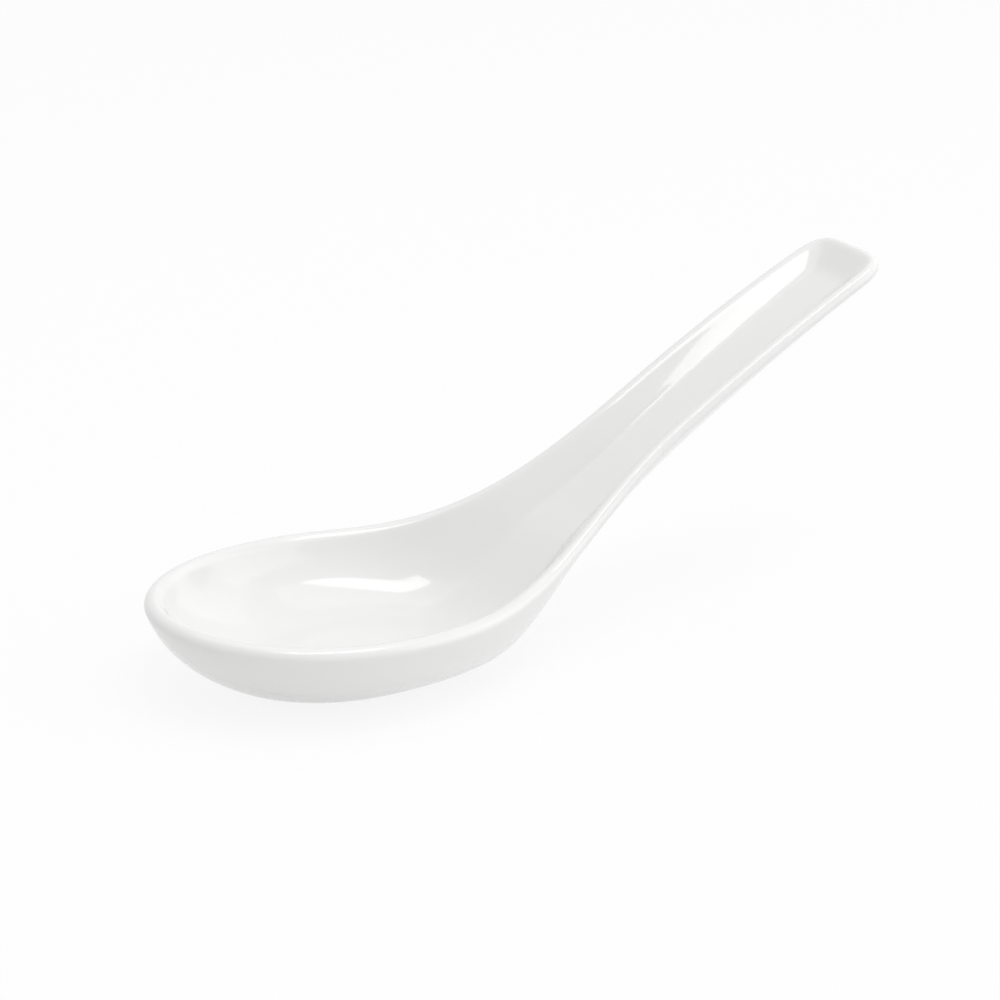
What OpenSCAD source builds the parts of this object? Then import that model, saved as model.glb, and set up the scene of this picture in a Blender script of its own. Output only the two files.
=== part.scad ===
// A white porcelain soup spoon of the short Chinese kind: an egg-shaped bowl that
// stands on a low oval foot, a steep heel, and a straight handle pressed as a
// shallow channel, closed by a wall at its square end.
//
// The body is one casting, so it is one solid. A coat of clear glaze wraps all of
// it but the foot, and a separate small pool of glaze fills the well in the foot.
//
// Frame: the origin is the middle of the foot's resting face. X runs along the
// spoon to the handle, Z is up, and the spoon is the same on both sides of y = 0.

/* [Whole spoon] */
// Length over everything, from the tip of the bowl to the end of the handle.
overall_l = 139; // [125:1:155]
// How far the tip of the bowl reaches in front of the foot's middle.
tip_reach = 38; // [36:0.2:42]
// Thickness of the glaze.
glaze_t = 0.2; // [0.15:0.05:0.3]

/* [Bowl] */
// Width over the rim at the widest place.
bowl_w = 51; // [46:0.2:58]
// From the tip of the bowl to its widest place.
tip_to_wide = 34.2; // [31:0.2:38]
// Height of the rim's top at the side of the bowl.
rim_h = 16.5; // [14:0.5:20]
// How much higher the rim stands at the tip.
tip_up = 0.8; // [0:0.1:2]
// Thickness of the bowl's floor.
floor_t = 4.3; // [3:0.1:4.6]
// Thickness of the bowl's rim.
rim_t = 2.8; // [2.2:0.1:3.4]
// How full the bowl's wall is: two is a quarter ellipse, more is squarer.
bowl_power = 1.65; // [1.5:0.05:2.2]
// How much of the way to the rim the bowl's floor stays flat.
flat_share = 0.4; // [0.4:0.02:0.5]

/* [Neck and heel] */
// From the widest place of the bowl to where the handle's sides run straight.
neck_l = 61.5; // [50:0.5:66]
// From the tip to where the rim starts to climb.
rise_from = 42.2; // [36:0.2:48]
// Length over which the rim bends from level to the handle's slope.
rise_l = 42.2; // [34:0.2:48]
// Length over which the floor climbs from the foot's back into the channel.
heel_l = 21; // [18:0.5:30]

/* [Handle] */
// Slope of the handle, in degrees.
handle_slope = 35.8; // [28:0.2:42]
// How far the handle's end drops below a straight line, as the handle bows a little.
droop = 6; // [0:0.1:8]
// Width over the handle where it leaves the neck.
handle_w = 20.4; // [19:0.2:24]
// Width over the handle at its end.
end_w = 19; // [17:0.2:24]
// How square the end's corners are: two is a round end, more is squarer.
end_power = 6; // [3:0.5:8]
// Depth of the channel where it leaves the neck, from the top of its rim to its floor.
channel_d = 5.8; // [4:0.1:6.6]
// Depth of the channel at the handle's end.
end_d = 2.7; // [2.2:0.1:4]
// How much of the way to the rim the channel's floor is flat where it leaves the neck.
neck_flat = 0.52; // [0.4:0.02:0.6]
// How much of the way to the rim the channel's floor is flat at the handle's end.
channel_flat = 0.58; // [0.4:0.02:0.6]
// Thickness of the handle's floor.
grip_t = 2.4; // [2:0.1:2.6]
// Thickness of the handle's wall at its rim.
handle_t = 2.2; // [1.8:0.1:2.6]
// How full the channel's wall is: one is a flat slope, more bulges outwards.
channel_power = 1.05; // [1.05:0.05:1.6]

/* [Foot] */
// Length of the foot ring.
foot_l = 34; // [28:0.5:34.5]
// Width of the foot ring.
foot_w = 18; // [14:0.5:18.5]
// Thickness of the ring's wall.
foot_wall = 2; // [1.5:0.1:2.6]
// How far the bare foot lifts the body off the table.
foot_h = 1; // [0.6:0.1:1.4]

/* [Fineness] */
// Stations round the front quarter of the outline.
front_n = 13; // [8:1:16]
// Stations along the side of the bowl, beside the back half of the foot.
side_n = 8; // [5:1:10]
// Stations along the neck and handle.
handle_n = 18; // [12:1:24]
// Stations round half of the handle's end.
end_n = 8; // [5:1:10]
// Levels from the floor up to the rim.
level_n = 9; // [6:1:10]
// Steps over the round of the rim.
round_n = 6; // [4:2:8]

/* [Hidden] */

// The shape is first laid out as a surface through the middle of the wall.
mid_tip_x = rim_t / 2 + glaze_t - tip_reach;
mid_end_x = overall_l - tip_reach - handle_t / 2 - glaze_t;
wide_x = tip_to_wide - tip_reach;
wide_y = bowl_w / 2 - rim_t / 2 - glaze_t;
neck_y = handle_w / 2 - handle_t / 2 - glaze_t;
end_y = end_w / 2 - handle_t / 2 - glaze_t;
straight_x = wide_x + neck_l;
rise_x = rise_from - tip_reach;
rise_end_x = rise_x + rise_l;
heel_x = foot_l / 2;
// All the lines of the handle's end meet here.
hub_x = mid_end_x - end_y;
mid_rim_z = rim_h - rim_t / 2 - glaze_t;
mid_floor_z = foot_h + floor_t / 2;
// The rim stops this share of the way up the wall's curve, so that it leans out.
wall_share = 0.97;
// A short length to measure slopes over.
probe = glaze_t / 4;

// Runs smoothly from 0 to 1, and its own sum, which turns a level line into a slope.
function smooth(u) = let (v = min(max(u, 0), 1)) v * v * (3 - 2 * v);
function bent(u) = let (v = min(max(u, 0), 1)) pow(v, 3) - pow(v, 4) / 2 + max(u - 1, 0);
function mix(a, b, s) = a + (b - a) * s;
function unit(v) = v / norm(v);

// Half the width of the outline behind the widest place.
function half_width(x) =
    let (neck = min(max((x - wide_x) / neck_l, 0), 1),
         flare = max((x - straight_x) / (mid_end_x - straight_x), 0))
    mix(neck_y, wide_y, (1 + cos(180 * neck)) / 2) + (end_y - neck_y) * flare * flare;

// Height of the rim's middle line.
function rim_z(x) =
    let (front = max((wide_x - x) / (wide_x - mid_tip_x), 0),
         far = max((x - rise_end_x) / (mid_end_x - rise_end_x), 0))
    mid_rim_z + tip_up * front * front
        + tan(handle_slope) * rise_l * bent((x - rise_x) / rise_l)
        - droop * far * far;

// How much of the bowl has turned into handle, for the floor and for the wall.
function heel(x) = smooth((x - heel_x) / heel_l);
function turned(x) = smooth((x - rise_x) / rise_l);
function along(x) = min(max((x - rise_end_x) / (mid_end_x - rise_end_x), 0), 1);
function depth(x) = mix(channel_d, end_d, along(x));
function floor_z(x) = mix(mid_floor_z, rim_z(x) - depth(x), heel(x));

// How far out a place on the plan is, as a share: 0 on the middle line, 1 on the rim.
// The front is half an oval, and the end half a rounded square.
function share_out(x, y) =
    x < wide_x ? norm([(x - wide_x) / (wide_x - mid_tip_x), y / wide_y])
    : x < hub_x ? abs(y) / half_width(x)
    : pow(pow((x - hub_x) / end_y, end_power)
          + pow(abs(y) / half_width(x), end_power), 1 / end_power);

// Height of the wall's middle over a place on the plan: flat, then up a curve.
function curve(t, p) = 1 - pow(1 - pow(min(max(t, 0), 1), p), 1 / p);
function height(x, y) =
    let (low = floor_z(x),
         p = mix(bowl_power, channel_power, heel(x)),
         flat = mix(flat_share, mix(neck_flat, channel_flat, along(x)), heel(x)),
         t = wall_share * (share_out(x, y) - flat) / (1 - flat))
    low + (rim_z(x) - low) * curve(t, p) / curve(wall_share, p);
function across(x, y) = unit([
    height(x - probe, y) - height(x + probe, y),
    height(x, y - probe) - height(x, y + probe),
    2 * probe]);

// Thickness of the wall at x, a share t of the way from the floor to the rim.
function wall_t(x, t) = mix(
    mix(floor_t, grip_t, turned(x)),
    mix(rim_t, handle_t, turned(x)),
    pow(t, 1.5));

// A station is [x, y, inner x, inner y]: a point on the outline, and the point its
// line starts from. That is on the foot's oval, then on the middle line, then the hub.
function oval(a) = [-foot_l / 2 * cos(a), foot_w / 2 * sin(a)];
front = [for (i = [0:front_n - 1])
    let (a = 90 * i / front_n, o = oval(a))
    [wide_x - (wide_x - mid_tip_x) * cos(a), wide_y * sin(a), o[0], o[1]]];
side = [for (i = [0:side_n - 1])
    let (s = i / side_n, x = mix(wide_x, heel_x, s), o = oval(90 + 90 * s))
    [x, half_width(x), o[0], o[1]]];
grip = [for (i = [0:handle_n])
    let (x = mix(heel_x, hub_x, i / handle_n))
    [x, half_width(x), x, 0]];
end = [for (i = [1:end_n])
    let (a = 90 * i / end_n,
         r = pow(pow(sin(a), end_power) + pow(abs(cos(a)), end_power), -1 / end_power),
         x = hub_x + end_y * r * sin(a))
    [x, half_width(x) * r * (i < end_n ? cos(a) : 0), hub_x, 0]];

half = concat(front, side, grip, end);
half_n = len(half) - 1;
loop_n = 2 * half_n;
oval_n = front_n + side_n;

// The whole loop: tip, near side (y below zero), end, far side, back to the tip.
stations = [for (i = [0:loop_n - 1])
    let (s = half[min(i, loop_n - i)], hand = i > half_n ? 1 : -1)
    [s[0], hand * s[1], s[2], hand * s[3]]];

// Levels crowd towards the rim, where the wall bends most.
levels = [for (j = [0:level_n]) sin(90 * j / level_n)];

middle = [for (s = stations)
    [for (t = levels)
        let (x = mix(s[2], s[0], t), y = mix(s[3], s[1], t))
        [x, y, height(x, y)]]];

// The floor is level over the foot, so its glaze and the foot's oval meet exactly.
normals = [for (line = middle)
    [for (j = [0:level_n])
        let (x = line[j][0], y = line[j][1])
        j == 0 && x <= heel_x ? [0, 0, 1] : across(x, y)]];
outwards = [for (i = [0:loop_n - 1])
    let (run = middle[(i + 1) % loop_n][level_n] - middle[(i + loop_n - 1) % loop_n][level_n])
    unit(cross(run, normals[i][level_n]))];

// One line of points over the wall at a station, from under the floor, up the
// outside, over the rim and down the inside. grow moves it off the wall's face.
function half_t(i, j, grow) = wall_t(middle[i][j][0], levels[j]) / 2 + grow;
function outside_at(i, j, grow) = middle[i][j] - normals[i][j] * half_t(i, j, grow);
function inside_at(i, j, grow) = middle[i][j] + normals[i][j] * half_t(i, j, grow);
function round_at(i, a, grow) = middle[i][level_n]
    + (outwards[i] * sin(a) - normals[i][level_n] * cos(a)) * half_t(i, level_n, grow);
function line_over(i, grow) = concat(
    [for (j = [0:level_n]) outside_at(i, j, grow)],
    [for (k = [1:round_n - 1]) round_at(i, 180 * k / round_n, grow)],
    [for (j = [level_n:-1:0]) inside_at(i, j, grow)]);
function reversed(list) = [for (k = [len(list) - 1:-1:0]) list[k]];

// True where the stations i and i + 1 both start from the foot's oval.
function on_oval(i) = i < oval_n || i >= loop_n - oval_n;

// Two triangles for each four corners, split the same way on both sides, and only
// those that are not squeezed to a line.
function split(i, a, b, c, d) = i < half_n
    ? [[a, b, c], [b, d, c]]
    : [[a, b, d], [a, d, c]];
function is_open(t, pts) = norm(cross(pts[t[1]] - pts[t[0]], pts[t[2]] - pts[t[0]])) > 0;

// Closes the lines into a skin. hubs are [place in the line, faces down] of the flat
// ovals over the foot, and gap is the place of the wall round a hole, if there is one.
module skin(lines, hubs, gap) {
    n = len(lines[0]);
    body_pts = [for (line = lines) each line];
    first_hub = len(body_pts);
    pts = concat(body_pts, [for (h = hubs) [0, 0, lines[0][h[0]][2]]]);
    bands = [for (i = [0:loop_n - 1], k = [0:n - 2])
        if (k != gap || on_oval(i))
            let (a = i * n + k, c = ((i + 1) % loop_n) * n + k)
            each split(i, a, a + 1, c, c + 1)];
    ovals = [for (h = [0:len(hubs) - 1], i = [0:loop_n - 1])
        if (on_oval(i))
            let (a = i * n + hubs[h][0], c = ((i + 1) % loop_n) * n + hubs[h][0])
            hubs[h][1] ? [first_hub + h, a, c] : [first_hub + h, c, a]];
    polyhedron(points = pts, faces = [for (t = concat(bands, ovals)) if (is_open(t, pts)) t]);
}

wall_lines = [for (i = [0:loop_n - 1]) line_over(i, 0)];
glaze_lines = [for (i = [0:loop_n - 1]) concat(reversed(wall_lines[i]), line_over(i, glaze_t))];
line_n = len(wall_lines[0]);

// The foot's outline, with the same corners as the oval that the wall starts from.
function oval_points(inset) = [for (i = [0:loop_n - 1])
    if (i <= oval_n || i > loop_n - oval_n)
        let (s = stations[i])
        [s[2] * (1 - 2 * inset / foot_l), s[3] * (1 - 2 * inset / foot_w)]];

module porcelain_body() {
    color("white")
        skin(wall_lines, [[0, true], [line_n - 1, false]], line_n);
}

module foot_ring() {
    color("linen")
        linear_extrude(foot_h)
            difference() {
                polygon(oval_points(0));
                polygon(oval_points(foot_wall));
            }
}

module glaze_coat() {
    color("ghostwhite")
        skin(glaze_lines, [[0, true], [2 * line_n - 1, false]], line_n - 1);
}

module foot_well_glaze() {
    color("ghostwhite")
        translate([0, 0, foot_h - glaze_t])
            linear_extrude(glaze_t)
                polygon(oval_points(foot_wall));
}

porcelain_body();
foot_ring();
glaze_coat();
foot_well_glaze();
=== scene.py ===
# %% [markdown]
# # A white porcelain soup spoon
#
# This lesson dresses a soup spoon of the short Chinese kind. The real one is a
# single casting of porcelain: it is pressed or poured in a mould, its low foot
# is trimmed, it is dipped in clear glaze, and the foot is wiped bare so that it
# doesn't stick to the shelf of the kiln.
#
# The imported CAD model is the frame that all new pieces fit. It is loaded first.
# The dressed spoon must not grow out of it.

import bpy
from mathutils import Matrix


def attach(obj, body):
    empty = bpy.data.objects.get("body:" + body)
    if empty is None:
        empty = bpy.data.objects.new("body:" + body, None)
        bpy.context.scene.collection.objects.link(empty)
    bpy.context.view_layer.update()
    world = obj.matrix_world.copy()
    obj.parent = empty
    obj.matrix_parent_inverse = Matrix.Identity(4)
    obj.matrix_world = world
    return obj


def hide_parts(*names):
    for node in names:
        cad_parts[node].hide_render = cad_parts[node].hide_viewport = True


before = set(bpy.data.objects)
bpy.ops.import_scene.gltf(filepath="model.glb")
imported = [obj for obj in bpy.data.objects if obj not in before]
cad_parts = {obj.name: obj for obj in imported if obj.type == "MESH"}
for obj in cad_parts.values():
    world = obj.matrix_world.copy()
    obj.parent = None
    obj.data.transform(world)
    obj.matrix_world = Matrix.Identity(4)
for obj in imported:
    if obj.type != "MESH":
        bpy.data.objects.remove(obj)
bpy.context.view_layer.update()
print("CAD nodes:", sorted(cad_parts))

# %% [markdown]
# ## The sizes
#
# A potter works from a template. This one has the same sizes as the CAD part,
# in metres: the origin is the middle of the foot's resting face, X runs along
# the spoon to the handle, and Z is up.

# %% Sizes of the spoon
import math
import bmesh
import bpy
from mathutils import Matrix, Quaternion, Vector

MM = 0.001

overall_l, tip_reach, glaze_t = 139 * MM, 38 * MM, 0.2 * MM
bowl_w, tip_to_wide, rim_h, tip_up = 51 * MM, 34.2 * MM, 16.5 * MM, 0.8 * MM
floor_t, rim_t, grip_t, handle_t = 4.3 * MM, 2.8 * MM, 2.4 * MM, 2.2 * MM
bowl_power, bowl_flat, thin_power = 1.65, 0.4, 1.5
neck_l, rise_from, rise_l, heel_l = 61.5 * MM, 42.2 * MM, 42.2 * MM, 21 * MM
handle_slope, droop = math.radians(35.8), 6 * MM
handle_w, end_w, end_power = 20.4 * MM, 19 * MM, 6
channel_d, end_d, channel_power = 5.8 * MM, 2.7 * MM, 1.05
neck_flat, channel_flat = 0.52, 0.58
foot_l, foot_w, foot_wall, foot_h = 34 * MM, 18 * MM, 2 * MM, 1 * MM
print("the spoon is", overall_l / MM, "mm long and its bowl", bowl_w / MM, "mm wide")

# %% [markdown]
# The template is laid out through the middle of the wall, so these lines stand
# half a wall and one coat of glaze inside the finished outline.

# %% Where the template's lines lie
tip_x = rim_t / 2 + glaze_t - tip_reach
end_x = overall_l - tip_reach - handle_t / 2 - glaze_t
wide_x = tip_to_wide - tip_reach
wide_y = bowl_w / 2 - rim_t / 2 - glaze_t
neck_y = handle_w / 2 - handle_t / 2 - glaze_t
end_y = end_w / 2 - handle_t / 2 - glaze_t
straight_x = wide_x + neck_l
rise_x = rise_from - tip_reach
rise_end_x = rise_x + rise_l
heel_x = foot_l / 2
hub_x = end_x - end_y
rim_mid_z = rim_h - rim_t / 2 - glaze_t
floor_mid_z = foot_h + floor_t / 2
wall_share = 0.97
print("the bowl is widest at x =", round(wide_x / MM, 1), "mm")


# %% Small curves that the template is drawn with
def clamp(u):
    return min(max(u, 0.0), 1.0)


def smooth(u):
    return clamp(u) ** 2 * (3 - 2 * clamp(u))


def bent(u):
    return clamp(u) ** 3 - clamp(u) ** 4 / 2 + max(u - 1, 0.0)


def mix(a, b, share):
    return a + (b - a) * share


# %% [markdown]
# ## The template
#
# Seen from above, the spoon is half an oval at the tip, a waist that runs in
# like a wave, and a square end with round corners. Seen from the side, the rim
# is almost level along the bowl and then climbs. Everything between the floor
# and the rim follows from one question: how far out does a place lie, as a
# share?


# %% The outline and the rim
def half_width(x):
    waist = clamp((x - wide_x) / neck_l)
    flare = max((x - straight_x) / (end_x - straight_x), 0.0)
    wave = (1 + math.cos(math.pi * waist)) / 2
    return mix(neck_y, wide_y, wave) + (end_y - neck_y) * flare**2


def rim_z(x):
    front = max((wide_x - x) / (wide_x - tip_x), 0.0)
    far = max((x - rise_end_x) / (end_x - rise_end_x), 0.0)
    climb = math.tan(handle_slope) * rise_l * bent((x - rise_x) / rise_l)
    return rim_mid_z + tip_up * front**2 + climb - droop * far**2


print("the rim climbs", round((rim_z(end_x) - rim_z(0)) / MM, 1), "mm from bowl to end")


# %% The heel, the floor and how far out a place lies
def heel(x):
    return smooth((x - heel_x) / heel_l)


def turned(x):
    return smooth((x - rise_x) / rise_l)


def along(x):
    return clamp((x - rise_end_x) / (end_x - rise_end_x))


def floor_z(x):
    return mix(floor_mid_z, rim_z(x) - mix(channel_d, end_d, along(x)), heel(x))


def share_out(x, y):
    if x < wide_x:
        return math.hypot((x - wide_x) / (wide_x - tip_x), y / wide_y)
    side = abs(y) / half_width(x)
    if x < hub_x:
        return side
    return (((x - hub_x) / end_y) ** end_power + side**end_power) ** (1 / end_power)


print("the floor at the handle's end is", round(floor_z(end_x) / MM, 1), "mm up")

# %% [markdown]
# The wall is level over the floor and then rises along one curve. In the bowl
# the curve is round, and in the handle it is nearly a straight slope, which is
# why the handle's wall catches a lamp all at once, as a flat mirror does.


# %% The height and thickness of the wall
def wall_curve(t, power):
    return 1 - (1 - clamp(t) ** power) ** (1 / power)


def height(x, y):
    low, power = floor_z(x), mix(bowl_power, channel_power, heel(x))
    flat = mix(bowl_flat, mix(neck_flat, channel_flat, along(x)), heel(x))
    t = wall_share * (share_out(x, y) - flat) / (1 - flat)
    return low + (rim_z(x) - low) * wall_curve(t, power) / wall_curve(wall_share, power)


def across(x, y, step=0.05 * MM):
    """The direction straight out of the wall, upwards."""
    return Vector(
        (
            height(x - step, y) - height(x + step, y),
            height(x, y - step) - height(x, y + step),
            2 * step,
        )
    ).normalized()


def wall_t(x, t):
    low, high = mix(floor_t, grip_t, turned(x)), mix(rim_t, handle_t, turned(x))
    return mix(low, high, t**thin_power)


bowl_d = rim_z(0) - floor_mid_z
print("the bowl is", round(bowl_d / MM, 1), "mm deep, from the middle of its wall")

# %% [markdown]
# ## Stations round the rim
#
# A potter marks stations round the rim and sets the template at each. A station
# is a place on the outline and the place its line starts from: the foot's oval
# under the bowl, the middle line along the handle, and one hub at the end.

# %% Stations
FRONT_N, SIDE_N, GRIP_N, END_N = 12, 6, 18, 8


def oval(turn):
    return (-foot_l / 2 * math.cos(turn), foot_w / 2 * math.sin(turn))


quarter = math.pi / 2
half = []
for i in range(FRONT_N):
    turn = quarter * i / FRONT_N
    out = (wide_x - (wide_x - tip_x) * math.cos(turn), wide_y * math.sin(turn))
    half.append((out, oval(turn)))
for i in range(SIDE_N):
    x = mix(wide_x, heel_x, i / SIDE_N)
    half.append(((x, half_width(x)), oval(quarter + quarter * i / SIDE_N)))
for i in range(GRIP_N + 1):
    x = mix(heel_x, hub_x, i / GRIP_N)
    half.append(((x, half_width(x)), (x, 0.0)))
for i in range(1, END_N + 1):
    turn = quarter * i / END_N
    s = math.sin(turn)
    c = math.cos(turn) if i < END_N else 0.0
    reach = (s**end_power + c**end_power) ** (-1 / end_power)
    x = hub_x + end_y * reach * s
    half.append(((x, half_width(x) * reach * c), (hub_x, 0.0)))

far_side = half[-2:0:-1]
near_side = [((p[0], -p[1]), (q[0], -q[1])) for p, q in half]
stations = near_side + far_side
LOOP_N = len(stations)
print(LOOP_N, "stations,", 2 * (FRONT_N + SIDE_N), "of them round the foot")

# %% [markdown]
# The line at a station runs from under the floor, up the outside, over the
# rim and down the inside. It is the section that a template cuts. The handle's
# rim is a plain round. The bowl's rim has its inner edge sponged down to a
# narrow slope, which is what glints along the far rim of such a spoon. The slope
# runs out where the bowl turns into the neck. Places round the rim are shares of
# half the wall: outwards, and across the wall towards the inside.

# %% The line over the wall at each station
LEVELS = (0.0, 0.17, 0.34, 0.5, 0.66, 0.76, 0.85, 0.93, 1.0)
RIM_N = 7
rim_turns = [math.pi * k / RIM_N for k in range(1, RIM_N)]
ROUND_RIM = [(math.sin(turn), -math.cos(turn)) for turn in rim_turns]
SPONGED_RIM = ROUND_RIM[:3] + [(0.93, 0.3), (0.72, 0.64), (0.12, 0.945)]


def wall_middle(i, t):
    (px, py), (qx, qy) = stations[i]
    x, y = mix(qx, px, t), mix(qy, py, t)
    straight_up = t == 0.0 and x <= heel_x
    out = Vector((0, 0, 1)) if straight_up else across(x, y)
    return Vector((x, y, height(x, y))), out, wall_t(x, t) / 2


def line_over(i, grow):
    middle = [wall_middle(i, t) for t in LEVELS]
    under = [p - n * (h + grow) for p, n, h in middle]
    inside = [p + n * (h + grow) for p, n, h in reversed(middle)]
    rim, up, h = middle[-1]
    run = wall_middle((i + 1) % LOOP_N, 1.0)[0] - wall_middle((i - 1) % LOOP_N, 1.0)[0]
    out = run.cross(up).normalized()
    run_out = smooth((rim.x - rise_x) / heel_l)
    over = []
    for sponged, plain in zip(SPONGED_RIM, ROUND_RIM):
        a, b = (mix(u, v, run_out) for u, v in zip(sponged, plain))
        over.append(rim + (out * a + up * b) * (h + grow))
    return under + over + inside


print("each line has", len(line_over(0, 0.0)), "places")

# %% [markdown]
# ## Drawing the wall up, ring by ring
#
# In Blender the same thing is done with one circle. It starts as a ring under
# the floor, and each extrude draws a new ring out of it, which is set against
# the template. A mark on each corner says at which station it stands, and an
# extruded corner keeps its mark. Along the handle the near and far halves of
# the first and last ring meet on the middle line, so their doubles are merged.


# %% Start a ring and draw it up
def start_ring(name, count):
    bpy.ops.object.select_all(action="DESELECT")
    bpy.ops.mesh.primitive_circle_add(vertices=count, radius=foot_l / 2, location=(0, 0, 0))
    piece = bpy.context.object
    piece.name = piece.data.name = name
    mark = piece.data.attributes.new("station", "INT", "POINT")
    mark.data.foreach_set("value", range(count))
    bpy.ops.object.mode_set(mode="EDIT")
    bpy.ops.mesh.select_all(action="SELECT")
    return piece


def set_ring(piece, places):
    shape = bmesh.from_edit_mesh(piece.data)
    mark = shape.verts.layers.int["station"]
    for corner in shape.verts:
        if corner.select:
            corner.co = places[corner[mark]]
    bmesh.update_edit_mesh(piece.data)


def draw_up(piece, rings):
    set_ring(piece, rings[0])
    for places in rings[1:]:
        bpy.ops.mesh.extrude_region_move()
        set_ring(piece, places)


# %% Close what is open
def anywhere(place):
    return True


def pick_open_edges(piece, test):
    bpy.ops.mesh.select_all(action="DESELECT")
    shape = bmesh.from_edit_mesh(piece.data)
    for edge in shape.edges:
        if edge.is_boundary and test((edge.verts[0].co + edge.verts[1].co) / 2):
            edge.select = True
    shape.select_flush_mode()
    bmesh.update_edit_mesh(piece.data)


def close_oval(piece, test, shares=(0.75, 0.5, 0.25)):
    """Draws an open oval in to its middle, ring by ring, and closes the pole."""
    pick_open_edges(piece, test)
    level = next(v.co.z for v in bmesh.from_edit_mesh(piece.data).verts if v.select)
    for share in shares:
        bpy.ops.mesh.extrude_region_move()
        set_ring(piece, [Vector((q[0] * share, q[1] * share, level)) for _, q in stations])
    bpy.ops.mesh.extrude_region_move()
    bpy.ops.mesh.merge(type="CENTER")


# %% Finish a mesh
def finish_mesh(piece, rounds):
    """Turns the faces outwards, rounds the cage and shades it smooth."""
    bpy.ops.mesh.select_all(action="SELECT")
    bpy.ops.mesh.normals_make_consistent(inside=False)
    bpy.ops.object.mode_set(mode="OBJECT")
    soft = piece.modifiers.new("rounding", "SUBSURF")
    soft.levels = soft.render_levels = rounds
    bpy.ops.object.modifier_apply(modifier=soft.name)
    bpy.ops.object.shade_smooth()
    print(piece.name, "has", len(piece.data.polygons), "faces")


# %% The casting
SAME_PLACE = 0.001 * MM
WALL_ROUNDS = 2


def spoon_wall(name, grow):
    piece = start_ring(name, LOOP_N)
    lines = [line_over(i, grow) for i in range(LOOP_N)]
    draw_up(piece, [[line[k] for line in lines] for k in range(len(lines[0]))])
    bpy.ops.mesh.select_all(action="SELECT")
    bpy.ops.mesh.remove_doubles(threshold=SAME_PLACE)
    return piece


def above_floor(place):
    return place.z > floor_mid_z


def below_floor(place):
    return place.z < floor_mid_z


casting = spoon_wall("casting", 0.0)
close_oval(casting, above_floor)
close_oval(casting, below_floor)
finish_mesh(casting, WALL_ROUNDS)

# %% [markdown]
# ## The coat of glaze
#
# The glaze is a skin a fifth of a millimetre thick. It is drawn up like the
# casting, one coat further out, and stays open where the foot comes through.
# Solidify then gives it its thickness, towards the casting.

# %% The glaze
coat = spoon_wall("glaze", glaze_t)
close_oval(coat, above_floor)
finish_mesh(coat, WALL_ROUNDS)
skin = coat.modifiers.new("thickness", "SOLIDIFY")
skin.thickness, skin.offset = glaze_t, -1.0
bpy.ops.object.modifier_apply(modifier=skin.name)
print(coat.name, "has", len(coat.data.polygons), "faces with its inner side")

# %% [markdown]
# ## The foot
#
# The foot is a low oval ring, trimmed square and then rubbed with a wet sponge,
# which rounds its edges. It is one section drawn round the oval: each place is
# how far it lies inside the outer wall, and its height, in millimetres.

# %% The bare foot ring
FOOT_N = 96
FOOT_ROUNDS = 1
RING_WALL = foot_wall / MM


def oval_ring(inset, z):
    places = []
    for i in range(FOOT_N):
        turn = 2 * math.pi * i / FOOT_N
        places.append(
            Vector(
                (
                    (foot_l / 2 - inset) * math.cos(turn),
                    (foot_w / 2 - inset) * math.sin(turn),
                    z,
                )
            )
        )
    return places


foot = start_ring("bare_foot", FOOT_N)
outer_side = [(0, 1), (0, 0.72), (0.06, 0.38), (0.24, 0.1), (0.55, 0)]
inner_side = [(RING_WALL - inset, z) for inset, z in reversed(outer_side)]
section = outer_side + [(RING_WALL / 2, 0)] + inner_side
draw_up(foot, [oval_ring(inset * MM, z * MM) for inset, z in section])
pick_open_edges(foot, anywhere)
bpy.ops.mesh.bridge_edge_loops()
finish_mesh(foot, FOOT_ROUNDS)

# %% [markdown]
# ## The glaze in the well
#
# Inside the ring a little glaze stays and pools. It is level in the middle and
# creeps up the ring a little at its edge, as any liquid did that set there.

# %% The pool in the well
pool = start_ring("well_glaze", FOOT_N)
creep = [(RING_WALL, 1.0), (RING_WALL, 0.62), (2.12, 0.7), (2.35, 0.77)]
level_part = [(2.8, 0.8), (4.0, 0.8), (6.0, 0.8)]
draw_up(pool, [oval_ring(inset * MM, z * MM) for inset, z in creep + level_part])
bpy.ops.mesh.extrude_region_move()
bpy.ops.mesh.merge(type="CENTER")
pick_open_edges(pool, anywhere)
bpy.ops.mesh.extrude_region_move()
bpy.ops.mesh.merge(type="CENTER")
finish_mesh(pool, FOOT_ROUNDS)

# %% [markdown]
# ## Finishes
#
# Porcelain is white clay under clear glaze, and what shows is white with a
# mirror's polish. Glaze sets like honey and never lies quite level, so a wide,
# very shallow bump lets the reflections wander a little, as they do on the real
# spoon. The bare foot is matt, a little creamy and finely grained.


# %% A finish and its relief
def new_finish(name, colour, roughness):
    finish = bpy.data.materials.new(name)
    finish.use_nodes = True
    shader = finish.node_tree.nodes["Principled BSDF"]
    shader.inputs["Base Color"].default_value = (*colour, 1)
    shader.inputs["Roughness"].default_value = roughness
    shader.inputs["IOR"].default_value = 1.5
    return finish


def add_relief(finish, per_metre, depth, detail):
    """A noise in the piece's own space that dents the surface by up to its depth."""
    tree = finish.node_tree
    place = tree.nodes.new("ShaderNodeTexCoord")
    noise = tree.nodes.new("ShaderNodeTexNoise")
    noise.inputs["Scale"].default_value = per_metre
    noise.inputs["Detail"].default_value = detail
    bump = tree.nodes.new("ShaderNodeBump")
    bump.inputs["Strength"].default_value = 1.0
    bump.inputs["Distance"].default_value = depth
    tree.links.new(place.outputs["Object"], noise.inputs["Vector"])
    tree.links.new(noise.outputs["Fac"], bump.inputs["Height"])
    tree.links.new(bump.outputs["Normal"], tree.nodes["Principled BSDF"].inputs["Normal"])
    return noise


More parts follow.
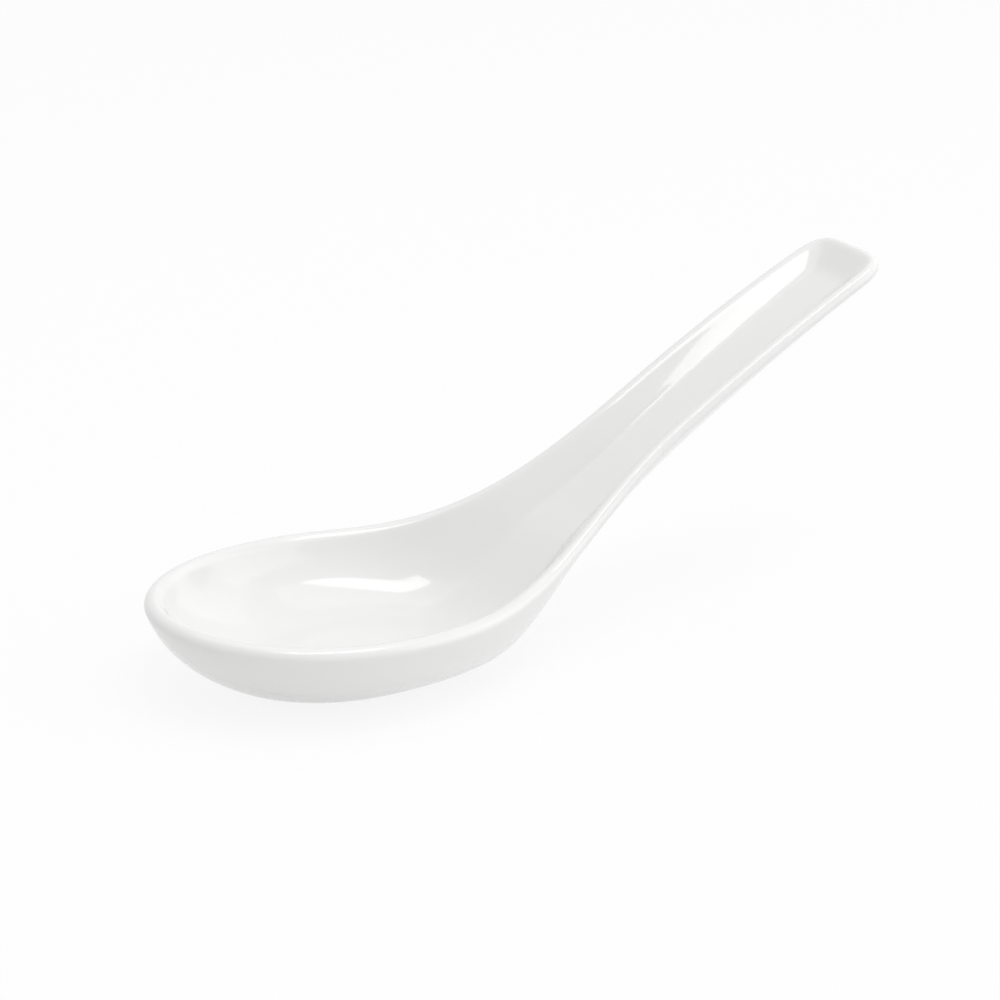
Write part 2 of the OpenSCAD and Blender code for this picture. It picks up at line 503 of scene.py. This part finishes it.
# %% The three finishes
glazed = new_finish("white_glaze", (0.842, 0.842, 0.836), 0.07)
add_relief(glazed, per_metre=110, depth=0.012 * MM, detail=1)

biscuit = new_finish("bare_biscuit", (0.76, 0.73, 0.68), 0.75)
grain = add_relief(biscuit, per_metre=2600, depth=0.02 * MM, detail=3)
cream = biscuit.node_tree.nodes.new("ShaderNodeValToRGB")
cream.color_ramp.elements[0].position, cream.color_ramp.elements[1].position = 0.36, 0.6
cream.color_ramp.elements[0].color = (0.66, 0.62, 0.55, 1)
cream.color_ramp.elements[1].color = (0.78, 0.755, 0.71, 1)
biscuit_shader = biscuit.node_tree.nodes["Principled BSDF"]
biscuit.node_tree.links.new(grain.outputs["Fac"], cream.inputs["Fac"])
biscuit.node_tree.links.new(cream.outputs["Color"], biscuit_shader.inputs["Base Color"])

clay = new_finish("porcelain_clay", (0.82, 0.81, 0.79), 0.5)
print("three finishes:", glazed.name, biscuit.name, clay.name)

# %% [markdown]
# Each piece takes the place of its CAD node and rides on the spoon's one body.

# %% Dress the nodes
for piece, finish, node, slot in (
    (casting, clay, "porcelain_body", "porcelain"),
    (coat, glazed, "glaze_coat", "glaze"),
    (foot, biscuit, "foot_ring", "bare_foot"),
    (pool, glazed, "foot_well_glaze", "well_glaze"),
):
    piece.data.materials.append(finish)
    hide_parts(node)
    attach(piece, "root")
    print(piece.name, "dresses", node)

# %% [markdown]
# ## The studio
#
# White on white shows only by its shading, so the light is plain and soft: a
# long softbox in front, a big one overhead, weaker ones from the right, and an
# even grey-white room. The table and the room are pure white where they are
# looked at, straight or in a reflection, and a Light Path node sees to that.
# A little of the table's own look is left in, so that the shadow still shows.


# %% White where it is looked at
def looked_at(tree, share):
    """One socket that is the share where a surface is seen, and nought elsewhere."""
    path = tree.nodes.new("ShaderNodeLightPath")
    total = path.outputs["Is Camera Ray"]
    for kind in ("Is Glossy Ray", "Is Transmission Ray"):
        plus = tree.nodes.new("ShaderNodeMath")
        plus.operation, plus.use_clamp = "ADD", True
        tree.links.new(total, plus.inputs[0])
        tree.links.new(path.outputs[kind], plus.inputs[1])
        total = plus.outputs[0]
    part = tree.nodes.new("ShaderNodeMath")
    part.operation = "MULTIPLY"
    part.inputs[1].default_value = share
    tree.links.new(total, part.inputs[0])
    return part.outputs[0]


def whiten(tree, share, plain, white, output):
    """Shows a pure white over the plain look where the surface is looked at."""
    blend = tree.nodes.new("ShaderNodeMixShader")
    tree.links.new(looked_at(tree, share), blend.inputs[0])
    tree.links.new(plain.outputs[0], blend.inputs[1])
    tree.links.new(white.outputs[0], blend.inputs[2])
    tree.links.new(blend.outputs[0], output.inputs["Surface"])


# %% The table
TABLE_WHITE = 0.88

bpy.ops.object.select_all(action="DESELECT")
bpy.ops.mesh.primitive_plane_add(size=4, location=(0, 0, 0))
floor = bpy.context.object
floor.name = "floor"
table = new_finish("white_table", (0.87, 0.87, 0.87), 0.9)
tree = table.node_tree
white = tree.nodes.new("ShaderNodeEmission")
white.inputs["Strength"].default_value = 1.0
whiten(tree, TABLE_WHITE, tree.nodes["Principled BSDF"], white, tree.nodes["Material Output"])
floor.data.materials.append(table)
print("the table is", round(floor.dimensions.x, 1), "m wide")

# %% The room
room = bpy.data.worlds.new("studio")
bpy.context.scene.world = room
room.use_nodes = True
tree = room.node_tree
sky = tree.nodes["Background"]
sky.inputs["Color"].default_value = (1, 1, 1, 1)
sky.inputs["Strength"].default_value = 0.56
backdrop = tree.nodes.new("ShaderNodeBackground")
backdrop.inputs["Color"].default_value = (1, 1, 1, 1)
backdrop.inputs["Strength"].default_value = 1.0
whiten(tree, 1.0, sky, backdrop, tree.nodes["World Output"])
print("the room shines at", round(sky.inputs["Strength"].default_value, 2), "of full white")

# %% [markdown]
# The long softbox makes the streak in the bowl, the glint on the far rim and the
# band along the handle. It is turned a little round its own axis, which lays the
# streak nearly level.

# %% Lamps
target = Vector((27.36, 0, 26.92)) * MM


def softbox(name, place, size, power, turn=0.0):
    """A lamp that looks at the spoon, turned round its own axis by some degrees."""
    lamp = bpy.data.lights.new(name, "AREA")
    lamp.shape = "RECTANGLE"
    lamp.size, lamp.size_y = size
    lamp.energy = power
    holder = bpy.data.objects.new(name, lamp)
    bpy.context.scene.collection.objects.link(holder)
    holder.location = place
    holder.rotation_mode = "QUATERNION"
    aim = (target - Vector(place)).to_track_quat("-Z", "Y")
    holder.rotation_quaternion = aim @ Quaternion((0, 0, 1), math.radians(turn))


softbox("front_strip", (0.06, -0.341, 1.0), (0.74, 0.31), 2.8, turn=13)
softbox("overhead", (0.0, 0.1, 1.5), (1.6, 1.6), 5.3)
softbox("right_front", (0.9, -0.9, 0.5), (1.0, 1.0), 3.2)
softbox("right", (1.2, 0.0, 0.6), (1.0, 1.0), 1.4)
print("four softboxes")

# %% [markdown]
# ## The camera
#
# It stands off the spoon's near side, turned 34 degrees towards the bowl's tip,
# and looks down at 21 degrees. It is rolled by 3 degrees, as the photo is.

# %% Camera
AZIMUTH, ELEVATION, ROLL = math.radians(-33.61), math.radians(21.18), math.radians(3.22)
DISTANCE_MM = 545.2
back = Vector(
    (
        math.sin(AZIMUTH) * math.cos(ELEVATION),
        -math.cos(AZIMUTH) * math.cos(ELEVATION),
        math.sin(ELEVATION),
    )
)
lens = bpy.data.cameras.new("camera")
lens.lens, lens.sensor_width = 114.76, 36.0
lens.clip_start, lens.clip_end = 0.01, 20
camera = bpy.data.objects.new("camera", lens)
bpy.context.scene.collection.objects.link(camera)
camera.location = target + back * DISTANCE_MM * MM
right = Vector((math.cos(AZIMUTH), math.sin(AZIMUTH), 0))
up = back.cross(right)
right, up = (
    right * math.cos(ROLL) + up * math.sin(ROLL),
    up * math.cos(ROLL) - right * math.sin(ROLL),
)
camera.rotation_mode = "QUATERNION"
camera.rotation_quaternion = Matrix((right, up, back)).transposed().to_quaternion()
bpy.context.scene.camera = camera
bpy.context.scene.view_settings.view_transform = "Standard"
print("the camera stands", round(DISTANCE_MM), "mm from what it looks at")
